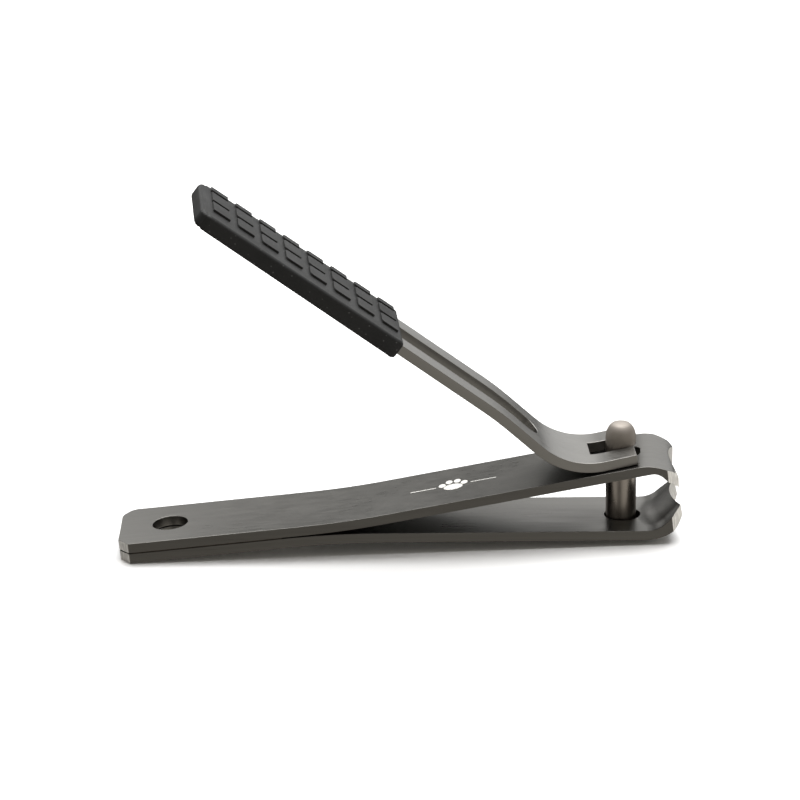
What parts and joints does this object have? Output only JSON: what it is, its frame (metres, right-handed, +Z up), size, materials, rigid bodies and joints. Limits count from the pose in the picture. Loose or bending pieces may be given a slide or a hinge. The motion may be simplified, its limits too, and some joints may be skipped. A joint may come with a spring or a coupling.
{
  "type": "pet nail clipper",
  "caption": "Lever nail clipper for a dog or cat: sprung steel jaws with curved cutting noses, squeezed shut by a cranked lever with a ribbed rubber grip.",
  "frame": {"origin": "middle of the bounding box in plan, at the surface that the clipper rests on", "axes": "+X along the jaws towards the cutting noses, +Z up, +Y to the left of someone looking along +X"},
  "size_m": [0.1106, 0.026, 0.0743],
  "materials": {
    "jaw_steel": "gunmetal plated spring steel, fine satin brushing along the jaw, bare ground bevels at the cutting edge",
    "lever_steel": "gunmetal plated steel, a little lighter than the jaws",
    "post_steel": "turned and polished, dark plated",
    "braze": "dull, hidden in the seam of the tail",
    "grip_rubber": "moulded matt black rubber with raised ribs"
  },
  "bodies": {
    "jaw_base": {"lower_jaw": "jaw_steel", "tail_braze": "braze"},
    "jaw_spring": {"upper_jaw": "jaw_steel"},
    "post": {"post": "post_steel"},
    "lever": {"lever": "lever_steel", "grip_sleeve": "grip_rubber"}
  },
  "joints": [
    {"name": "jaw_close", "type": "hinge", "parent": "jaw_base", "child": "jaw_spring", "pos_m": [-0.01228, 0.00372, 0.00497], "axis": [0, 1, 0], "range_deg": [0, 2.83]},
    {"name": "post_swivel", "type": "hinge", "parent": "jaw_base", "child": "post", "pos_m": [0.04335, 0.00372, 0.00118], "axis": [0.0298, 0, 0.9996], "range_deg": [-13, 3]},
    {"name": "lever_press", "type": "hinge", "parent": "post", "child": "lever", "pos_m": [0.04512, 0.00383, 0.01728], "axis": [0.0871, -0.9962, -0.0026], "range_deg": [0, 18.5], "stiffness_Nm_per_rad": 0.73, "springref_deg": -5.73}
  ],
  "couplings": [
    {"joint": "jaw_close", "follows": "lever_press", "ratio": 0.152}
  ]
}
